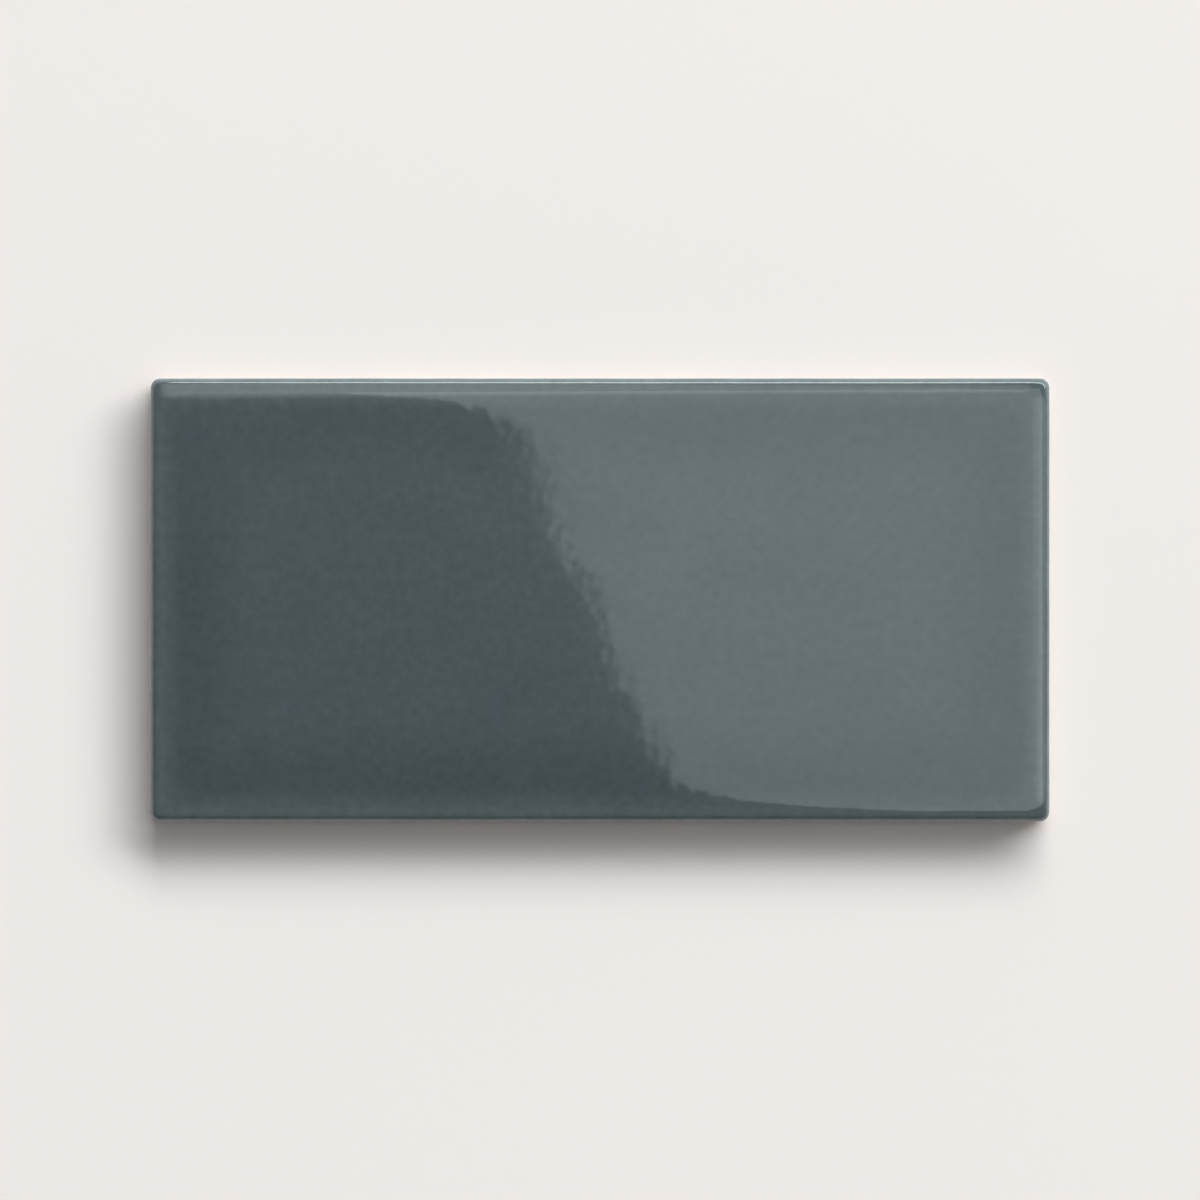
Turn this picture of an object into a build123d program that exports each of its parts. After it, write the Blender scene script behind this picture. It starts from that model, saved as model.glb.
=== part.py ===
from build123d import *

import os
from math import asin, degrees

# A subway tile: one slab of pressed and fired clay, glazed on its face, lying face up.
# Millimetres, +Z up. X runs along the long side and Y along the short side. The origin is
# at the middle of the back, in the plane that beds in the adhesive.

# Slab
length = 148.0
width = 73.0
thickness = 8.0  # from the back to the flat of the face
corner_radius = 1.6  # upright corners, in plan

# Face: flat in the middle, falling away to its edges along a shallow arc
cushion_width = 5.0
cushion_drop = 0.3  # at the middle of a side; the corners fall further
flat_corner_radius = 1.0  # corners of the flat, in plan
arris_radius = 1.1  # rounding where the face turns down into the sides

# Sides: an upright band under the face, then a lean inwards so that the slab leaves its die
band_height = 2.0
draft_angle = 1.5
back_chamfer = 0.7

# Back: grooves between ribs, inside a plain rim, that key the slab into its bed
back_rim = 5.5  # least width of the plain border
rib_width = 3.0
groove_width = 5.0  # at the back
groove_depth = 0.6
groove_lean = 30.0  # of the groove's walls, from upright

NODE = "subway_tile"


def slab():
    """Body with upright corners, up to the plane of the flat, before its face is shaped."""
    band_foot = thickness - band_height
    outline = Plane.XY.offset(band_foot) * RectangleRounded(length, width, corner_radius)
    band = extrude(outline, band_height)
    below = extrude(outline, -band_foot, taper=draft_angle)
    return band + below


def cushion():
    """Block that reaches past the sides, with the flat and the fall of the face on top."""
    rail_radius = cushion_width + flat_corner_radius
    reach = rail_radius / 2  # past the sides, so that the slab's own corners lie under it
    arc_radius = (cushion_width**2 + cushion_drop**2) / (2 * cushion_drop)
    arc_angle = degrees(asin((cushion_width + reach) / arc_radius))

    rail = RectangleRounded(length, width, rail_radius).wire()
    across = Plane(origin=rail @ 0, x_dir=(rail % 0).cross(Vector(0, 0, 1)), z_dir=-(rail % 0))
    arc = JernArc((-cushion_width, thickness), (1, 0), arc_radius, -arc_angle)
    walls = Polyline(arc @ 1, (reach, 0), (-cushion_width, 0), arc @ 0)
    edge_run = sweep(across * make_face([arc, walls]), path=rail)

    flat = RectangleRounded(length - 2 * cushion_width, width - 2 * cushion_width, flat_corner_radius)
    return extrude(flat, thickness) + edge_run


def face_edges(body):
    """Edges all round where the face meets the upright band."""
    band_foot = thickness - band_height
    sides = [f for f in body.faces() if abs(f.normal_at().Z) < 1e-4]
    rim = [e for f in sides for e in f.edges() if e.bounding_box().min.Z > band_foot + 1e-3]
    return ShapeList(rim)


def keying():
    """Grooves of the back, side by side along the length of the slab."""
    pitch = groove_width + rib_width
    count = int((width - 2 * back_rim + rib_width) // pitch)
    groove = extrude(SlotOverall(length - 2 * back_rim, groove_width), groove_depth, taper=groove_lean)
    return [place * groove for place in GridLocations(0, pitch, 1, count)]


def subway_tile():
    """The finished tile as one solid."""
    body = slab() & cushion()
    body = fillet(face_edges(body), arris_radius)
    back = body.faces().sort_by(Axis.Z)[0]
    body = chamfer(back.edges(), back_chamfer)
    return body - keying()


tile = subway_tile()
tile.label = NODE
os.makedirs("parts", exist_ok=True)
export_step(tile, f"parts/{NODE}.step")
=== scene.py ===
"""Looks of a glazed subway tile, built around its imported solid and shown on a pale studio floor."""

from __future__ import annotations

import logging
import math
from collections.abc import Iterator, Sequence
from dataclasses import dataclass, field
from enum import Enum, IntEnum
from typing import Any

import bmesh
import bpy
from bmesh.types import BMEdge, BMesh, BMFace, BMVert
from mathutils import Matrix, Vector, noise

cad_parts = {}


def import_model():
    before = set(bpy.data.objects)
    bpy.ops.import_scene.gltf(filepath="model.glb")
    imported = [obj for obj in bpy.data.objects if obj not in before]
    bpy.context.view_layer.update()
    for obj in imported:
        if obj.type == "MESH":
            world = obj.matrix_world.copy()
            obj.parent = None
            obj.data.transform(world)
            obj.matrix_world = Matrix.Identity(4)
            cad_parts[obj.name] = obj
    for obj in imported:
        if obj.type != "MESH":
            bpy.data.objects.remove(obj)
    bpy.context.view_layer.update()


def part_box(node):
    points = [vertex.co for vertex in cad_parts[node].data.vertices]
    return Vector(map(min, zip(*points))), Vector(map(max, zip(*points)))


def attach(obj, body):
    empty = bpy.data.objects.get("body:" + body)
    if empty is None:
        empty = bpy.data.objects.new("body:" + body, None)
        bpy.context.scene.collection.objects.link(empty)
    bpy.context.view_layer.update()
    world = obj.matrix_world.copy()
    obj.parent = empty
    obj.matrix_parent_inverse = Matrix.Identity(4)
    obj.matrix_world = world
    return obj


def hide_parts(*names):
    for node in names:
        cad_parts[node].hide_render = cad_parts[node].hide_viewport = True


MM = 0.001  # metres in a millimetre
NODE = "subway_tile"
BODY = "root"
GLAZE_DEPTH = "glaze_depth"  # vertex attribute: how deep the glaze lies, 0 bare to 1 pooled; its low values over the arris also give a painted highlight line
NOISE_LOW, NOISE_HIGH = 0.3, 0.7  # nearly all values of a noise texture lie between these

log = logging.getLogger("subway_tile")


class Coat(IntEnum):
    """Material slots of the tile's mesh."""

    GLAZE = 0
    BISCUIT = 1


class Tone(Enum):
    """Colours of the tile, its floor and the light, as sRGB hex values."""

    # Pale tone of the glaze over the arris: partly its real thinning there, partly a painted highlight line
    # along every edge.
    GLAZE_THIN_HIGHLIT = "808c8e"
    GLAZE_RIM = "565d5f"
    GLAZE_BODY = "4e5557"
    GLAZE_POOL = "484f51"
    GLAZE_DEEP = "444b4d"
    GLAZE_BLUE = "465058"
    # Painted shade inside the pinholes.
    PINHOLE_SHADE = "2f3739"
    CLAY = "bcae9b"
    CLAY_PALE = "cbc0b0"
    CLAY_GROG = "93826c"
    FLOOR = "faeae7"
    LAMP = "f3ffff"

    @property
    def linear(self) -> tuple[float, float, float, float]:
        """The colour as linear RGBA."""
        parts = [int(self.value[i : i + 2], 16) / 255 for i in (0, 2, 4)]
        red, green, blue = (p / 12.92 if p <= 0.04045 else ((p + 0.055) / 1.055) ** 2.4 for p in parts)
        return red, green, blue, 1.0


def add_node(
    tree: bpy.types.NodeTree,
    kind: str,
    inputs: dict[str | int, Any] | None = None,
    stops: Sequence[tuple[float, Tone]] = (),
    **settings: Any,
) -> bpy.types.Node:
    """Adds a node with its settings and links.

    Args:
        tree: Node tree that takes the node.
        kind: Blender's name for the node's type.
        inputs: A value, or an output socket to link, for each input by name or number.
        stops: Places and colours of a colour ramp.
        **settings: Properties of the node.

    Returns:
        The new node.
    """
    node = tree.nodes.new(kind)
    for name, value in settings.items():
        setattr(node, name, value)
    for name, value in (inputs or {}).items():
        if isinstance(value, bpy.types.NodeSocket):
            tree.links.new(value, node.inputs[name])
        else:
            node.inputs[name].default_value = value
    if stops:
        marks = node.color_ramp.elements
        while len(marks) < len(stops):
            marks.new(1.0)
        for mark, (place, tone) in zip(marks, stops):
            mark.position, mark.color = place, tone.linear
    return node


def per_metre(size_mm: float) -> float:
    """Texture scale whose pattern repeats about every size_mm millimetres."""
    return 1.0 / (size_mm * MM)


def eased(value: float, low: float, high: float) -> float:
    """Share from 0 at low to 1 at high, with soft ends."""
    share = min(max((value - low) / (high - low), 0.0), 1.0)
    return share * share * (3.0 - 2.0 * share)


def along(knots: Sequence[tuple[float, float]], at: float) -> float:
    """Reads a curve that runs softly from knot to knot.

    Args:
        knots: Places and values, in rising order of place.
        at: Place to read.

    Returns:
        The value there, held level past both ends.
    """
    for (low, first), (high, second) in zip(knots, knots[1:]):
        if at <= high:
            return first + (second - first) * eased(at, low, high)
    return knots[-1][1]


def uneven(place: Vector, size: float, offset: Sequence[float] = (0.0, 0.0, 0.0)) -> float:
    """Reads a smooth noise.

    Args:
        place: Where to read it.
        size: Width of its rises and hollows.
        offset: Sets it apart from the other noises.

    Returns:
        A value from about -1 to 1.
    """
    return noise.noise(place / size + Vector(offset))


@dataclass(frozen=True)
class RoundedOutline:
    """Rectangle with rounded corners, about the origin, in plan."""

    half_x: float
    half_y: float
    radius: float

    def _past_core(self, x: float, y: float) -> tuple[float, float]:
        """How far a point lies past the corners' centres, along each axis."""
        return abs(x) - (self.half_x - self.radius), abs(y) - (self.half_y - self.radius)

    def inset(self, x: float, y: float) -> float:
        """Measures how far inside the outline a point lies.

        Args:
            x: Place of the point.
            y: Place of the point.

        Returns:
            Its distance inwards from the outline, negative outside it.
        """
        over_x, over_y = self._past_core(x, y)
        outer = math.hypot(max(over_x, 0.0), max(over_y, 0.0))
        return self.radius - outer - min(max(over_x, over_y), 0.0)

    def normal(self, x: float, y: float) -> Vector:
        """Finds the outward direction of the outline, nearest to a point.

        Args:
            x: Place of the point.
            y: Place of the point.

        Returns:
            The direction, one long.
        """
        over_x, over_y = self._past_core(x, y)
        if over_x > 0.0 and over_y > 0.0:
            way = Vector((math.copysign(over_x, x), math.copysign(over_y, y), 0.0))
        elif over_x > over_y:
            way = Vector((math.copysign(1.0, x), 0.0, 0.0))
        else:
            way = Vector((0.0, math.copysign(1.0, y), 0.0))
        return way.normalized()

    def foot(self, x: float, y: float) -> tuple[Vector, Vector]:
        """Nearest point of the outline to a point, and the outward direction there."""
        way = self.normal(x, y)
        return Vector((x, y, 0.0)) + way * self.inset(x, y), way

    def rounded(self, x: float, y: float) -> tuple[float, float]:
        """Moves a point of the square-cornered rectangle to its place inside the round corners.

        Args:
            x: Place of the point.
            y: Place of the point.

        Returns:
            Its new place.
        """
        over_x, over_y = self._past_core(x, y)
        if over_x <= 0.0 or over_y <= 0.0:
            return x, y
        pull = max(over_x, over_y) / math.hypot(over_x, over_y)
        return (
            math.copysign(self.half_x - self.radius + over_x * pull, x),
            math.copysign(self.half_y - self.radius + over_y * pull, y),
        )


@dataclass(frozen=True)
class TileSizes:
    """Sizes of the tile in metres. The overall three are those of its solid."""

    length: float
    width: float
    thickness: float
    corner_radius: float = 1.6 * MM
    cushion_width: float = 5.0 * MM
    cushion_drop: float = 0.315 * MM
    cushion_ease: float = 1.54 * MM  # inwards from the edge, over which the fall fades into the flat
    cushion_corner_radius: float = 3.7 * MM
    pool_corner_radius: float = 9.0 * MM  # of the ring where the glaze pools
    pool_corner_start: float = 1.5 * MM  # inwards from the edge, where the ring's corners begin to round
    pool_corner_end: float = 6.0 * MM  # and where they have their full radius
    arris_radius: float = 1.1 * MM
    band_height: float = 2.0 * MM
    draft_angle: float = math.radians(1.5)
    back_chamfer: float = 0.7 * MM
    back_rim: float = 5.5 * MM
    rib_width: float = 3.0 * MM
    groove_width: float = 5.0 * MM
    groove_depth: float = 0.6 * MM
    groove_lean: float = math.radians(30.0)
    groove_softness: float = 0.14 * MM  # rounding of the grooves' lips and corners

    def outline_with(self, radius: float) -> RoundedOutline:
        """Outline of the tile at its widest, with corners of a given radius."""
        return RoundedOutline(self.length / 2, self.width / 2, radius)

    @property
    def outline(self) -> RoundedOutline:
        """Outline of the tile at its widest."""
        return self.outline_with(self.corner_radius)

    @property
    def cushion_rail(self) -> RoundedOutline:
        """Line from which the fall of the face is measured."""
        return self.outline_with(self.cushion_corner_radius)

    @property
    def groove_middles(self) -> list[float]:
        """Places of the back's grooves across the tile."""
        pitch = self.groove_width + self.rib_width
        count = int((self.width - 2 * self.back_rim + self.rib_width) // pitch)
        return [(k - (count - 1) / 2) * pitch for k in range(count)]

    @property
    def groove_reach(self) -> float:
        """Distance from the middle of the tile to the centre of a groove's round end."""
        return self.length / 2 - self.back_rim - self.groove_width / 2

    @property
    def mouth_radius(self) -> float:
        """Radius of a groove's ends at its mouth, where its rounded lip begins."""
        return self.groove_width / 2 + self.groove_softness

    def glaze_inset(self, x: float, y: float) -> float:
        """Measures the inset by which the glaze's depth goes, with corners that round further in.

        Args:
            x: Place on the face.
            y: Place on the face.

        Returns:
            The distance from the edge.
        """
        inset = self.outline.inset(x, y)
        pool_inset = self.outline_with(self.pool_corner_radius).inset(x, y)
        return inset + (pool_inset - inset) * eased(inset, self.pool_corner_start, self.pool_corner_end)

    def face_height(self, x: float, y: float) -> float:
        """Height of the face before its edge is rounded."""
        fall = math.exp(-self.cushion_rail.inset(x, y) / self.cushion_ease)
        return self.thickness - self.cushion_drop * fall

    def clay_lean(self, height: float) -> float:
        """How far the side leans in at a height, below its upright band."""
        return max(self.thickness - self.band_height - height, 0.0) * math.tan(self.draft_angle)


@dataclass(frozen=True)
class EndLoop:
    """One loop of the glaze's end on the side."""

    hollow: float  # inset, as a share of the hollow's
    wall: float  # and as a share of the wall's
    rise: float  # above the line where the glaze ends
    depth: float  # of the glaze


@dataclass(frozen=True)
class Relief:
    """What the press and the kiln leave on the surface, in metres."""

    crown: float = 0.13 * MM  # the face stands higher in the middle than at its long sides
    swell_size: float = 14.0 * MM
    swell: float = 0.005 * MM
    peel_size: float = 3.0 * MM  # orange peel of a fired glaze
    peel: float = 0.0013 * MM
    peel_offset: tuple[float, float, float] = (7.3, 2.1, 4.7)  # sets it apart from the other noises
    ripple_size: float = 1.3 * MM
    ripple: float = 0.001 * MM
    ripple_offset: tuple[float, float, float] = (1.9, 8.4, 0.6)
    waver_size: float = 7.0 * MM  # sides that aren't quite straight
    waver: float = 0.07 * MM
    waver_reach: float = 2.5 * MM
    waver_offset: tuple[float, float, float] = (3.1, 5.9, 9.2)
    glaze_edge: float = 1.2 * MM  # height at which the glaze ends on the sides
    glaze_edge_swing: float = 0.25 * MM
    glaze_edge_size: float = 17.0 * MM
    glaze_edge_offset: tuple[float, float, float] = (6.6, 1.3, 2.2)
    glaze_edge_ragged: float = 0.12 * MM
    glaze_edge_rag_size: float = 2.6 * MM
    glaze_wall: float = 0.14 * MM  # how far the glaze stands out from the clay
    hollow: float = 0.05 * MM  # how far in the glaze lies over the bead that it ends in
    side_bow: float = 0.02 * MM  # and how far in halfway down the side
    glaze_end: tuple[EndLoop, ...] = (
        EndLoop(hollow=1.0, wall=0.0, rise=0.60 * MM, depth=0.36),
        EndLoop(hollow=0.4, wall=0.0, rise=0.30 * MM, depth=0.55),
        EndLoop(hollow=0.3, wall=0.0, rise=0.16 * MM, depth=0.80),
        EndLoop(hollow=1.0, wall=0.4, rise=0.04 * MM, depth=0.55),
        EndLoop(hollow=1.0, wall=1.0, rise=0.0, depth=0.10),
    )

    def of_face(self, x: float, y: float, half_width: float) -> float:
        """Gives the face its crown and its unevenness, none of it above the solid's face.

        Args:
            x: Place on the face.
            y: Place on the face.
            half_width: Half of the tile's width.

        Returns:
            Height to add to the face there.
        """
        at = Vector((x, y, 0.0))
        fall = self.crown * (y / half_width) ** 2
        swell = self.swell * (uneven(at, self.swell_size) - 1.0)
        peel = self.peel * (uneven(at, self.peel_size, self.peel_offset) - 1.0)
        ripple = self.ripple * (uneven(at, self.ripple_size, self.ripple_offset) - 1.0)
        return swell + peel + ripple - fall

    def of_side(self, foot: Vector) -> float:
        """How far the side lies inside its outline at a point of it."""
        return self.waver * 0.5 * (1.0 + uneven(foot, self.waver_size, self.waver_offset))

    def glaze_line(self, foot: Vector) -> float:
        """Draws the line where the glaze ends on the sides.

        Args:
            foot: Point of the outline.

        Returns:
            Height of the line there.
        """
        swing = self.glaze_edge_swing * uneven(foot, self.glaze_edge_size, self.glaze_edge_offset)
        ragged = self.glaze_edge_ragged * uneven(foot, self.glaze_edge_rag_size)
        return self.glaze_edge + swing + ragged


@dataclass(frozen=True)
class GlazeFinish:
    """Translucent coloured glaze, fired to a gloss: it darkens where it pools, and is pale over the edges,
    partly where it thins and partly as a painted highlight line.
    """

    name: str = "glossy_teal_grey_glaze"
    ior: float = 1.52
    roughness: tuple[float, float] = (0.024, 0.036)  # in its brightest drifts and its dullest
    depth_at_inset: tuple[tuple[float, float], ...] = (
        # Thin over the arris: partly the glaze's real thinning, partly a painted highlight line along every
        # edge.
        (0.0 * MM, 0.08),
        (0.3 * MM, 0.13),
        (1.0 * MM, 0.26),
        (1.8 * MM, 0.25),
        (3.2 * MM, 0.50),
        (5.5 * MM, 0.82),
        (7.0 * MM, 0.82),
        (19.0 * MM, 0.55),
    )
    depth_lean: float = 0.12  # share by which the colour is darker towards the lower long side and paler towards the upper one
    depth_on_side: float = 0.42  # halfway down
    tone_at_depth: tuple[tuple[float, Tone], ...] = (
        (0.0, Tone.GLAZE_THIN_HIGHLIT),
        (0.22, Tone.GLAZE_RIM),
        (0.55, Tone.GLAZE_BODY),
        (0.82, Tone.GLAZE_POOL),
        (1.0, Tone.GLAZE_DEEP),
    )
    mottle_mm: float = 9.0
    mottle_swing: float = 0.25  # share by which the mottle deepens or thins the colour
    cast_mm: float = 11.0
    cast_range: tuple[float, float] = (0.45, 0.75)  # of the noise, over which the blue sets in
    cast_share: float = 0.25  # of blue where it is strongest
    grain_mm: float = 1.6
    grain_swing: float = 0.085  # share by which the grain lightens or darkens the colour
    pinhole_mm: float = 11.0  # a patch this wide has one at most
    pinhole_share: float = 0.18  # of the patches have one
    pinhole_radius_mm: float = 0.22
    pinhole_core: float = 0.4  # share of the radius that is painted dark throughout, as shade in the pit
    pinhole_depth: float = 0.05 * MM

    def material(self) -> bpy.types.Material:
        """Builds the glaze's material.

        Returns:
            The material, whose colour follows the depth of the glaze.
        """
        made = bpy.data.materials.new(self.name)
        made.use_nodes = True
        tree = made.node_tree
        tree.nodes.clear()
        place = add_node(tree, "ShaderNodeTexCoord").outputs["Object"]
        mottle = add_node(
            tree, "ShaderNodeTexNoise", {"Vector": place, "Scale": per_metre(self.mottle_mm), "Detail": 3.0}
        ).outputs["Fac"]
        pits = self._pits(tree, place)
        colour = self._grained(tree, place, self._tinted(tree, place, self._pigment(tree, mottle)))
        # The pinholes are painted dark, as the shade inside them; the bump below sinks them.
        pit_shaded = add_node(
            tree,
            "ShaderNodeMix",
            {"Factor": pits, "A": colour, "B": Tone.PINHOLE_SHADE.linear},
            data_type="RGBA",
        )

        # Gloss that dulls by a hair in drifts, and pits that catch the light.
        bright, dull = self.roughness
        gloss = add_node(
            tree,
            "ShaderNodeMapRange",
            {
                "Value": mottle,
                "From Min": NOISE_LOW,
                "From Max": NOISE_HIGH,
                "To Min": bright,
                "To Max": dull,
            },
        )
        sunk = add_node(tree, "ShaderNodeMath", {0: pits, 1: -1.0}, operation="MULTIPLY")
        bump = add_node(
            tree,
            "ShaderNodeBump",
            {"Strength": 0.5, "Distance": self.pinhole_depth, "Height": sunk.outputs[0]},
        )
        shader = add_node(
            tree,
            "ShaderNodeBsdfPrincipled",
            {
                "Base Color": pit_shaded.outputs["Result"],
                "Roughness": gloss.outputs["Result"],
                "IOR": self.ior,
                "Normal": bump.outputs["Normal"],
            },
        )
        add_node(tree, "ShaderNodeOutputMaterial", {"Surface": shader.outputs["BSDF"]})
        return made

    def _pigment(self, tree: bpy.types.NodeTree, mottle: bpy.types.NodeSocket) -> bpy.types.NodeSocket:
        """Colours the glaze by its depth, which drifts a few millimetres wide deepen or thin.

        Args:
            tree: Node tree of the material.
            mottle: The drifts.

        Returns:
            The colour.
        """
        depth = add_node(tree, "ShaderNodeAttribute", attribute_name=GLAZE_DEPTH).outputs["Fac"]
        drift = add_node(
            tree,
            "ShaderNodeMath",
            {0: mottle, 1: 2 * self.mottle_swing, 2: -self.mottle_swing},
            operation="MULTIPLY_ADD",
        )
        varied = add_node(
            tree, "ShaderNodeMath", {0: depth, 1: drift.outputs[0], 2: depth}, operation="MULTIPLY_ADD"
        )
        ramp = add_node(tree, "ShaderNodeValToRGB", {"Fac": varied.outputs[0]}, stops=self.tone_at_depth)
        return ramp.outputs["Color"]

    def _tinted(
        self, tree: bpy.types.NodeTree, place: bpy.types.NodeSocket, colour: bpy.types.NodeSocket
    ) -> bpy.types.NodeSocket:
        """Turns patches of the glaze bluer.

        Args:
            tree: Node tree of the material.
            place: Place on the tile.
            colour: The colour so far.

        Returns:
            The colour with its patches.
        """
        cast = add_node(
            tree,
            "ShaderNodeTexNoise",
            {"Vector": place, "Scale": per_metre(self.cast_mm), "Detail": 2.0, "Distortion": 0.4},
        )
        low, high = self.cast_range
        blue = add_node(
            tree,
            "ShaderNodeMapRange",
            {"Value": cast.outputs["Fac"], "From Min": low, "From Max": high, "To Max": self.cast_share},
        )
        tinted = add_node(
            tree,
            "ShaderNodeMix",
            {"Factor": blue.outputs["Result"], "A": colour, "B": Tone.GLAZE_BLUE.linear},
            data_type="RGBA",
        )
        return tinted.outputs["Result"]

    def _grained(
        self, tree: bpy.types.NodeTree, place: bpy.types.NodeSocket, colour: bpy.types.NodeSocket
    ) -> bpy.types.NodeSocket:
        """Adds a finer grain, of colour that did not melt evenly.

        Args:
            tree: Node tree of the material.
            place: Place on the tile.
            colour: The colour so far.

        Returns:
            The colour with its grain.
        """
        grain = add_node(
            tree, "ShaderNodeTexNoise", {"Vector": place, "Scale": per_metre(self.grain_mm), "Detail": 3.0}
        )
        shade = add_node(
            tree,
            "ShaderNodeMapRange",
            {
                "Value": grain.outputs["Fac"],
                "From Min": NOISE_LOW,
                "From Max": NOISE_HIGH,
                "To Min": 1.0 - self.grain_swing,
                "To Max": 1.0 + self.grain_swing,
            },
        )
        grained = add_node(
            tree,
            "ShaderNodeVectorMath",
            {"Vector": colour, "Scale": shade.outputs["Result"]},
            operation="SCALE",
        )
        return grained.outputs[0]

    def _pits(self, tree: bpy.types.NodeTree, place: bpy.types.NodeSocket) -> bpy.types.NodeSocket:
        """Scatters a few pinholes, where gas left the glaze as it cooled.

        Args:
            tree: Node tree of the material.
            place: Place on the tile.

        Returns:
            A value of 1 in the pinholes and 0 elsewhere.
        """
        cells = add_node(
            tree, "ShaderNodeTexVoronoi", {"Vector": place, "Scale": per_metre(self.pinhole_mm)}
        )
        radius = self.pinhole_radius_mm / self.pinhole_mm
        hole = add_node(
            tree,
            "ShaderNodeMapRange",
            {
                "Value": cells.outputs["Distance"],
                "From Min": self.pinhole_core * radius,
                "From Max": radius,
                "To Min": 1.0,
                "To Max": 0.0,
            },
            interpolation_type="SMOOTHSTEP",
        )
        lot = add_node(tree, "ShaderNodeSeparateColor", {"Color": cells.outputs["Color"]})
        chosen = add_node(
            tree,
            "ShaderNodeMath",
            {0: lot.outputs["Red"], 1: 1.0 - self.pinhole_share},
            operation="GREATER_THAN",
        )
        pits = add_node(
            tree, "ShaderNodeMath", {0: hole.outputs["Result"], 1: chosen.outputs[0]}, operation="MULTIPLY"
        )
        return pits.outputs[0]


@dataclass(frozen=True)
class BiscuitFinish:
    """Fired clay without glaze: pale, dry and finely granular, with darker grains of grog."""

    name: str = "pale_fired_clay"
    ior: float = 1.5
    specular: float = 0.3
    roughness: tuple[float, float] = (0.82, 0.98)
    cloud_mm: float = 12.0
    tone_at_cloud: tuple[tuple[float, Tone], ...] = ((0.35, Tone.CLAY), (0.65, Tone.CLAY_PALE))
    grain_mm: float = 0.35
    grain_relief: float = 0.08 * MM
    grog_mm: float = 1.4
    grog_range: tuple[float, float] = (0.10, 0.22)  # shares of that size over which a grain fades
    grog_share: float = 0.45  # of its own colour in the middle of a grain

    def material(self) -> bpy.types.Material:
        """Builds the clay's material.

        Returns:
            The material, dull and granular.
        """
        made = bpy.data.materials.new(self.name)
        made.use_nodes = True
        tree = made.node_tree
        tree.nodes.clear()
        place = add_node(tree, "ShaderNodeTexCoord").outputs["Object"]
        colour = self._speckled(tree, place)
        grain = add_node(
            tree, "ShaderNodeTexNoise", {"Vector": place, "Scale": per_metre(self.grain_mm), "Detail": 3.0}
        ).outputs["Fac"]
        smooth, rough = self.roughness
        dry = add_node(tree, "ShaderNodeMapRange", {"Value": grain, "To Min": smooth, "To Max": rough})
        bump = add_node(
            tree, "ShaderNodeBump", {"Strength": 0.6, "Distance": self.grain_relief, "Height": grain}
        )
        shader = add_node(
            tree,
            "ShaderNodeBsdfPrincipled",
            {
                "Base Color": colour,
                "Roughness": dry.outputs["Result"],
                "IOR": self.ior,
                "Specular IOR Level": self.specular,
                "Normal": bump.outputs["Normal"],
            },
        )
        add_node(tree, "ShaderNodeOutputMaterial", {"Surface": shader.outputs["BSDF"]})
        return made

    def _speckled(self, tree: bpy.types.NodeTree, place: bpy.types.NodeSocket) -> bpy.types.NodeSocket:
        """Colours the clay in soft clouds, and sets grains of grog in it.

        Args:
            tree: Node tree of the material.
            place: Place on the tile.

        Returns:
            The colour.
        """
        cloud = add_node(
            tree, "ShaderNodeTexNoise", {"Vector": place, "Scale": per_metre(self.cloud_mm), "Detail": 4.0}
        )
        tint = add_node(
            tree, "ShaderNodeValToRGB", {"Fac": cloud.outputs["Fac"]}, stops=self.tone_at_cloud
        )
        grog = add_node(tree, "ShaderNodeTexVoronoi", {"Vector": place, "Scale": per_metre(self.grog_mm)})
        low, high = self.grog_range
        fleck = add_node(
            tree,
            "ShaderNodeMapRange",
            {
                "Value": grog.outputs["Distance"],
                "From Min": low,
                "From Max": high,
                "To Min": self.grog_share,
                "To Max": 0.0,
            },
        )
        speckled = add_node(
            tree,
            "ShaderNodeMix",
            {"Factor": fleck.outputs["Result"], "A": tint.outputs["Color"], "B": Tone.CLAY_GROG.linear},
            data_type="RGBA",
        )
        return speckled.outputs["Result"]


@dataclass(frozen=True)
class Ring:
    """One loop of edges round the side of the tile."""

    inset: float  # inwards from the outline
    height: float
    depth: float  # of the glaze
    coat: Coat  # of the faces above it


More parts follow.
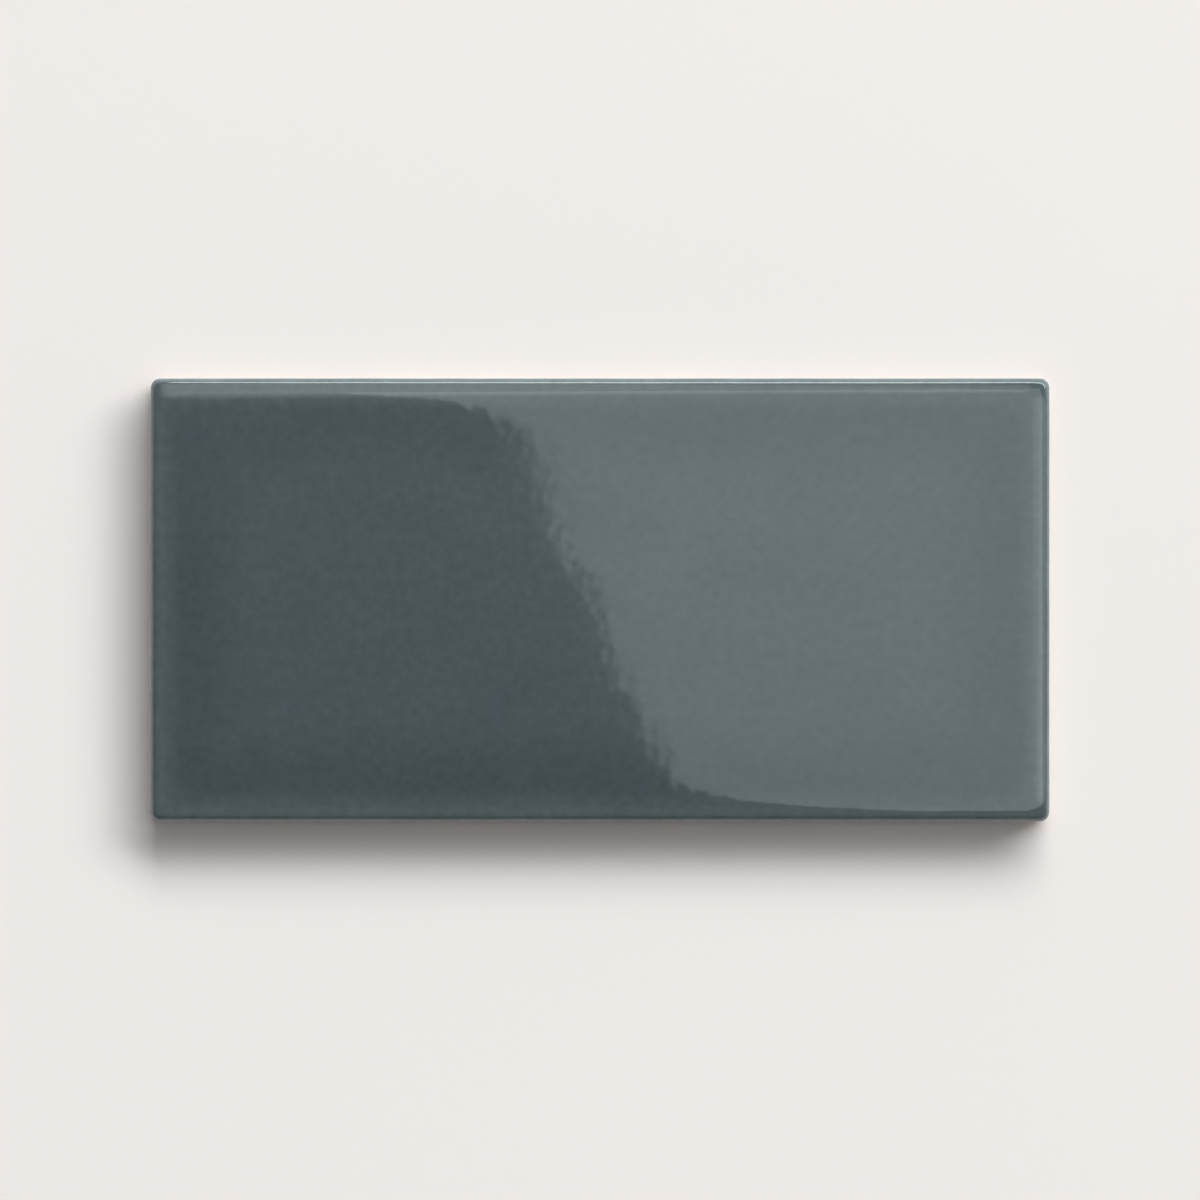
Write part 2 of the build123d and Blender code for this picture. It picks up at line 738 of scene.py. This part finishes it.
@dataclass
class SubwayTile:
    """The tile: a fine mesh of its glazed face and sides, and its keyed clay back."""

    sizes: TileSizes
    relief: Relief = field(default_factory=Relief)
    glaze: GlazeFinish = field(default_factory=GlazeFinish)
    biscuit: BiscuitFinish = field(default_factory=BiscuitFinish)
    name: str = "glazed_subway_tile"
    flat_step: float = 0.5 * MM  # of the mesh, on the flat of the face
    cushion_steps: int = 10
    arris_steps: int = 5  # to each side of the arris's middle
    foot_cuts: tuple[float, ...] = (0.3, 0.8)  # loops of the bare foot, as shares of the way down it
    chamfer_cuts: tuple[float, ...] = (0.12, 0.5, 0.88)  # and of the chamfer round the back
    chamfer_reach: float = 1.1  # inwards to the back's first loop, as a share of the chamfer
    slot_segments: int = 32

    def build(self) -> bpy.types.Object:
        """Models the tile.

        Returns:
            The tile as an object at the origin, dressed in glaze and clay.
        """
        bm = bmesh.new()
        bm.verts.layers.float.new(GLAZE_DEPTH)
        self._face(bm)
        rim = self._sides(bm)
        self._back(bm, rim)
        self._waver(bm)
        bmesh.ops.recalc_face_normals(bm, faces=bm.faces)
        mesh = bpy.data.meshes.new(self.name)
        bm.to_mesh(mesh)
        bm.free()
        mesh.materials.append(self.glaze.material())
        mesh.materials.append(self.biscuit.material())
        tile = bpy.data.objects.new(self.name, mesh)
        bpy.context.scene.collection.objects.link(tile)
        return tile

    def _cuts(self, half: float) -> list[float]:
        """Places of the face's edge loops along one axis, closer together towards the edges.

        Args:
            half: Half of the tile's size along the axis.

        Returns:
            Places from the middle of one arris to the middle of the other, in rising order.
        """
        size = self.sizes
        turn = [math.pi / 4 * k / self.arris_steps for k in range(self.arris_steps, 0, -1)]
        insets = [size.arris_radius * (1.0 - math.sin(t)) for t in turn]
        run = size.cushion_width - size.arris_radius
        insets += [size.arris_radius + run * k / self.cushion_steps for k in range(self.cushion_steps)]
        flat = half - size.cushion_width
        count = round(2 * flat / self.flat_step)
        low = [inset - half for inset in insets]
        middle = [-flat + 2 * flat * k / count for k in range(count + 1)]
        return low + middle + [-place for place in reversed(low)]

    def _face(self, bm: BMesh) -> None:
        """Lays the face as a grid, rounds its corners and gives it its fall and relief.

        Args:
            bm: Mesh that takes the face.
        """
        size = self.sizes
        outline = size.outline
        depth = bm.verts.layers.float[GLAZE_DEPTH]
        xs, ys = self._cuts(outline.half_x), self._cuts(outline.half_y)
        bmesh.ops.create_grid(bm, x_segments=len(xs) - 1, y_segments=len(ys) - 1, size=1.0)
        for vert in bm.verts:
            i = round((vert.co.x + 1.0) / 2.0 * (len(xs) - 1))
            j = round((vert.co.y + 1.0) / 2.0 * (len(ys) - 1))
            x, y = outline.rounded(xs[i], ys[j])
            over = max(size.arris_radius - outline.inset(x, y), 0.0)
            turn = size.arris_radius - math.sqrt(size.arris_radius**2 - over**2)
            height = size.face_height(x, y) - turn + self.relief.of_face(x, y, outline.half_y)
            vert.co = (x, y, height)
            lean = 1.0 - self.glaze.depth_lean * y / outline.half_y
            vert[depth] = lean * along(self.glaze.depth_at_inset, size.glaze_inset(x, y))
        for face in bm.faces:
            face.smooth = True
            face.material_index = Coat.GLAZE

    def _rings(self, foot: Vector) -> Iterator[Ring]:
        """Loops of the side under a point of the outline, from the arris down to the back.

        Args:
            foot: Point of the outline.

        Yields:
            Each loop's place there.
        """
        size, relief = self.sizes, self.relief
        edge = size.face_height(foot.x, foot.y) + relief.of_face(foot.x, foot.y, size.width / 2)
        line = relief.glaze_line(foot)
        # Over the arris the glaze is pale: partly its real thinning, partly a painted highlight line.
        thin_highlit = self.glaze.depth_at_inset[0][1]
        for k in range(1, self.arris_steps + 1):
            turn = math.pi / 4 * (1.0 + k / self.arris_steps)
            inset = size.arris_radius * (1.0 - math.sin(turn))
            yield Ring(inset, edge - size.arris_radius * (1.0 - math.cos(turn)), thin_highlit, Coat.GLAZE)

        # The glaze runs down the side, and ends in a bead and a small wall.
        halfway = 0.5 * (edge - size.arris_radius + line + relief.glaze_end[0].rise)
        yield Ring(relief.side_bow, halfway, self.glaze.depth_on_side, Coat.GLAZE)
        for loop in relief.glaze_end:
            inset = loop.wall * relief.glaze_wall + loop.hollow * relief.hollow
            yield Ring(inset, line + loop.rise, loop.depth, Coat.GLAZE)

        # Below it the clay is bare, down to the chamfer round the back.
        clay = relief.glaze_wall + relief.hollow
        for share in self.foot_cuts:
            height = (1.0 - share) * line + share * size.back_chamfer
            yield Ring(clay + size.clay_lean(height), height, 0.0, Coat.BISCUIT)
        top = clay + size.clay_lean(size.back_chamfer)
        for share in self.chamfer_cuts:
            inset, height = top + size.back_chamfer * share, size.back_chamfer * (1.0 - share)
            yield Ring(inset, height, 0.0, Coat.BISCUIT)
        yield Ring(top + self.chamfer_reach * size.back_chamfer, 0.0, 0.0, Coat.BISCUIT)

    def _sides(self, bm: BMesh) -> list[BMEdge]:
        """Draws the edge of the face down the sides, loop by loop.

        Args:
            bm: Mesh that holds the face.

        Returns:
            The last loop's edges, in the plane of the back.
        """
        outline = self.sizes.outline
        depth = bm.verts.layers.float[GLAZE_DEPTH]
        coats = [ring.coat for ring in self._rings(Vector((outline.half_x, 0.0, 0.0)))]
        rim = [edge for edge in bm.edges if edge.is_boundary]
        for number, coat in enumerate(coats):
            made = bmesh.ops.extrude_edge_only(bm, edges=rim)["geom"]
            rim = [part for part in made if isinstance(part, BMEdge) and part.is_boundary]
            for vert in (part for part in made if isinstance(part, BMVert)):
                foot, way = outline.foot(vert.co.x, vert.co.y)
                ring = list(self._rings(foot))[number]
                vert.co = foot - way * ring.inset
                vert.co.z = ring.height
                vert[depth] = ring.depth
            for face in (part for part in made if isinstance(part, BMFace)):
                face.smooth = True
                face.material_index = coat
        return rim

    def _back(self, bm: BMesh, rim: list[BMEdge]) -> None:
        """Closes the back with a flat rim and ribs, and presses its grooves.

        Args:
            bm: Mesh that holds the face and sides.
            rim: Loop of edges round the back.
        """
        size = self.sizes
        turned = Matrix.Rotation(math.pi / self.slot_segments, 4, "Z")
        mouths: list[list[BMEdge]] = []
        for middle in size.groove_middles:
            ends = bmesh.ops.create_circle(
                bm, cap_ends=False, radius=size.mouth_radius, segments=self.slot_segments, matrix=turned
            )["verts"]
            for side in (-1.0, 1.0):
                half = [vert for vert in ends if vert.co.x * side > 0.0]
                bmesh.ops.translate(bm, verts=half, vec=(side * size.groove_reach, 0.0, 0.0))
            bmesh.ops.translate(bm, verts=ends, vec=(0.0, middle, 0.0))
            mouths.append(list(dict.fromkeys(edge for vert in ends for edge in vert.link_edges)))
        lips = rim + sum(mouths, [])
        bed = bmesh.ops.triangle_fill(bm, use_beauty=True, edges=lips, normal=(0.0, 0.0, -1.0))["geom"]
        for face in (part for part in bed if isinstance(part, BMFace)):
            face.material_index = Coat.BISCUIT
        for mouth, middle in zip(mouths, size.groove_middles):
            self._groove(bm, mouth, middle)
        for edge in lips:
            edge.smooth = False

    def _groove(self, bm: BMesh, mouth: list[BMEdge], middle: float) -> None:
        """Presses one groove into the back.

        Args:
            bm: Mesh that holds the back.
            mouth: Edges of the groove's mouth.
            middle: Place of the groove across the tile.
        """
        size = self.sizes
        soft, depth = size.groove_softness, size.groove_depth
        lean = depth * math.tan(size.groove_lean)
        section = (
            (0.75 * soft, 0.25 * soft),  # the lip
            (1.15 * soft, soft),  # top of the wall
            (0.70 * soft + lean, depth - soft),  # bottom of the wall
            (1.20 * soft + lean, depth - 0.25 * soft),  # the corner
            (2.00 * soft + lean, depth),  # edge of the floor
        )
        loop = mouth
        for inset, height in section:
            made = bmesh.ops.extrude_edge_only(bm, edges=loop)["geom"]
            loop = [part for part in made if isinstance(part, BMEdge) and part.is_boundary]
            for vert in (part for part in made if isinstance(part, BMVert)):
                centre = Vector((math.copysign(size.groove_reach, vert.co.x), middle, 0.0))
                out = Vector((vert.co.x, vert.co.y, 0.0)) - centre
                vert.co = centre + out.normalized() * (size.mouth_radius - inset)
                vert.co.z = height
            for face in (part for part in made if isinstance(part, BMFace)):
                face.smooth = True
                face.material_index = Coat.BISCUIT
        for face in bmesh.ops.contextual_create(bm, geom=loop)["faces"]:
            face.material_index = Coat.BISCUIT
        for edge in loop:
            edge.smooth = False

    def _waver(self, bm: BMesh) -> None:
        """Draws the sides and the edge of the face in by a little, unevenly, as firing leaves them.

        Args:
            bm: Mesh of the whole tile.
        """
        outline, reach = self.sizes.outline, self.relief.waver_reach
        for vert in bm.verts:
            inset = outline.inset(vert.co.x, vert.co.y)
            if inset >= reach or vert.co.z <= 0.0:
                continue
            foot, way = outline.foot(vert.co.x, vert.co.y)
            vert.co -= way * self.relief.of_side(foot) * (1.0 - eased(inset, 0.0, reach))


@dataclass(frozen=True)
class Softbox:
    """Rectangular studio lamp."""

    name: str
    place: tuple[float, float, float]
    wide: float
    high: float
    radiance: float  # a value of 1 is the brightness of white
    turn: float = 0.0  # about the upright axis, in radians, where it faces down
    aimed: bool = False  # at the tile, and not straight down

    @classmethod
    def overhead(
        cls,
        name: str,
        height: float,
        turn: float,
        near: float,
        wide: float,
        low: float,
        high: float,
        radiance: float,
    ) -> Softbox:
        """Lamp that faces straight down, placed by its near edge.

        Args:
            name: Name of the lamp.
            height: Its height over the floor.
            turn: Direction in which it lies from the middle of the floor, in degrees.
            near: Distance of its near edge in that direction.
            wide: Its size in that direction.
            low: Where its near edge begins, to the side of that direction.
            high: Where its near edge ends.
            radiance: Its brightness.

        Returns:
            The lamp.
        """
        spin = Matrix.Rotation(math.radians(turn), 3, "Z")
        middle = spin @ Vector((near + wide / 2, (low + high) / 2, height))
        return cls(name, tuple(middle), wide, high - low, radiance, turn=math.radians(turn))

    def build(self) -> None:
        """Hangs the lamp over the floor."""
        lamp = bpy.data.lights.new(self.name, "AREA")
        lamp.shape = "RECTANGLE"
        lamp.size, lamp.size_y = self.wide, self.high
        lamp.energy = self.radiance * math.pi * self.wide * self.high
        lamp.color = Tone.LAMP.linear[:3]
        holder = bpy.data.objects.new(self.name, lamp)
        bpy.context.scene.collection.objects.link(holder)
        holder.location = self.place
        if self.aimed:
            holder.rotation_euler = (-Vector(self.place)).to_track_quat("-Z", "Y").to_euler()
        else:
            holder.rotation_euler = (0.0, 0.0, self.turn)
        holder.visible_camera = False


@dataclass(frozen=True)
class FadingLamp:
    """Overhead lamp with a soft near edge: plain ones over each other, each set a little further out."""

    name: str
    turn: float  # and the sizes below, as in Softbox.overhead
    height: float
    height_step: float  # from lamp to lamp, because one at the same height would be hidden
    near: float
    near_step: float
    wide: float
    low: float
    high: float
    radiance: float  # of each
    spill: float = 0.0  # how much further each one reaches to both sides
    count: int = 4

    def lamps(self) -> Iterator[Softbox]:
        """Makes the plain lamps.

        Yields:
            Each lamp, from the nearest outwards.
        """
        for step in range(self.count):
            yield Softbox.overhead(
                f"{self.name} {step}",
                self.height + self.height_step * step,
                self.turn,
                near=self.near + self.near_step * step,
                wide=self.wide,
                low=self.low - self.spill * step,
                high=self.high + self.spill * step,
                radiance=self.radiance,
            )


@dataclass(frozen=True)
class Studio:
    """Pale floor, soft light from the upper right, and a camera that looks straight down."""

    camera_height: float = 1.5
    frame_width: float = 0.1973  # of floor seen at the height of the face
    sensor_mm: float = 36.0
    floor_size: float = 12.0
    floor_drop: float = 0.02 * MM  # keeps the floor clear of the tile's back
    sky: float = 0.08  # brightness of the room overhead
    walls: float = 0.9  # and of its walls, low down
    wall_fade: tuple[float, float] = (0.05, 0.40)  # heights between the two, where 1 is straight up

    # The panel lies reflected in one half of the face. The key casts the shadow and lights the edges.
    panel: Softbox = Softbox.overhead(
        "panel", 3.0, 16.5, near=-0.006, wide=0.9, low=-0.57, high=0.431, radiance=1.68
    )
    key: Softbox = Softbox("key", (3.43, 5.488, 4.702), wide=10.0, high=3.2, radiance=9.6, aimed=True)

    # The strips lie reflected along the fall of the face, the fill between the key and the top strip.
    top_fill: Softbox = Softbox.overhead(
        "top fill", 6.0, 90.0, near=3.26, wide=3.2, low=-0.36, high=0.36, radiance=2.0
    )
    top_strip: FadingLamp = FadingLamp(
        "top strip",
        turn=108.0,
        height=3.03,
        height_step=0.03,
        near=0.32,
        near_step=0.035,
        wide=1.3,
        low=-0.35,
        high=0.25,
        radiance=0.49,
        spill=0.1,
    )
    right_strip: FadingLamp = FadingLamp(
        "right strip",
        turn=0.0,
        height=3.045,
        height_step=0.03,
        near=0.42,
        near_step=0.1,
        wide=3.4,
        low=-0.15,
        high=0.2,
        radiance=0.4,
        spill=0.06,
    )

    # The glow is faint, and lightens the face towards the upper right.
    glow: FadingLamp = FadingLamp(
        "glow",
        turn=60.0,
        height=2.97,
        height_step=-0.03,
        near=-0.05,
        near_step=0.06,
        wide=0.5,
        low=-0.4,
        high=0.4,
        radiance=0.06,
    )

    def build(self, face_height: float) -> None:
        """Sets up the floor, the light and the camera.

        Args:
            face_height: Height of the tile's face over the floor.
        """
        bpy.context.scene.view_settings.view_transform = "Standard"
        self._floor()
        self._surroundings()
        lamps = [self.panel, self.key, self.top_fill]
        for fading in (self.top_strip, self.right_strip, self.glow):
            lamps.extend(fading.lamps())
        for lamp in lamps:
            lamp.build()
        self._camera(face_height)

    def _floor(self) -> None:
        """Lays a pale matt floor."""
        bm = bmesh.new()
        bmesh.ops.create_grid(bm, x_segments=1, y_segments=1, size=self.floor_size / 2)
        bmesh.ops.translate(bm, verts=bm.verts, vec=(0.0, 0.0, -self.floor_drop))
        mesh = bpy.data.meshes.new("studio_floor")
        bm.to_mesh(mesh)
        bm.free()
        paint = bpy.data.materials.new("matt_warm_white_paint")
        paint.use_nodes = True
        paint.node_tree.nodes.clear()
        shader = add_node(
            paint.node_tree,
            "ShaderNodeBsdfPrincipled",
            {"Base Color": Tone.FLOOR.linear, "Roughness": 1.0, "Specular IOR Level": 0.0},
        )
        add_node(paint.node_tree, "ShaderNodeOutputMaterial", {"Surface": shader.outputs["BSDF"]})
        mesh.materials.append(paint)
        floor = bpy.data.objects.new("studio_floor", mesh)
        bpy.context.scene.collection.objects.link(floor)

    def _surroundings(self) -> None:
        """Fills the shadows with even light from all round."""
        world = bpy.data.worlds.new("studio")
        world.use_nodes = True
        tree = world.node_tree
        tree.nodes.clear()
        way = add_node(tree, "ShaderNodeTexCoord").outputs["Generated"]
        height = add_node(tree, "ShaderNodeSeparateXYZ", {"Vector": way}).outputs["Z"]
        low, high = self.wall_fade
        level = add_node(
            tree,
            "ShaderNodeMapRange",
            {"Value": height, "From Min": low, "From Max": high, "To Min": self.walls, "To Max": self.sky},
            interpolation_type="SMOOTHSTEP",
        )
        light = add_node(
            tree, "ShaderNodeBackground", {"Color": Tone.LAMP.linear, "Strength": level.outputs["Result"]}
        )
        add_node(tree, "ShaderNodeOutputWorld", {"Surface": light.outputs["Background"]})
        bpy.context.scene.world = world

    def _camera(self, face_height: float) -> None:
        """Points the camera straight down at the middle of the tile.

        Args:
            face_height: Height of the tile's face over the floor.
        """
        data = bpy.data.cameras.new("camera")
        data.sensor_width = self.sensor_mm
        data.lens = self.sensor_mm * self.camera_height / self.frame_width
        camera = bpy.data.objects.new("camera", data)
        camera.location = (0.0, 0.0, face_height + self.camera_height)
        bpy.context.scene.collection.objects.link(camera)
        bpy.context.scene.camera = camera


def main() -> None:
    """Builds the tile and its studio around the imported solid."""
    logging.basicConfig(level=logging.INFO, format="%(name)s: %(message)s")
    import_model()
    low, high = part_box(NODE)
    sizes = TileSizes(*(high - low))

    tile = SubwayTile(sizes).build()
    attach(tile, BODY)
    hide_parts(NODE)
    log.info("%s: %d faces", tile.name, len(tile.data.polygons))

    Studio().build(sizes.thickness)
    log.info("studio set up")


if __name__ == "__main__":
    main()
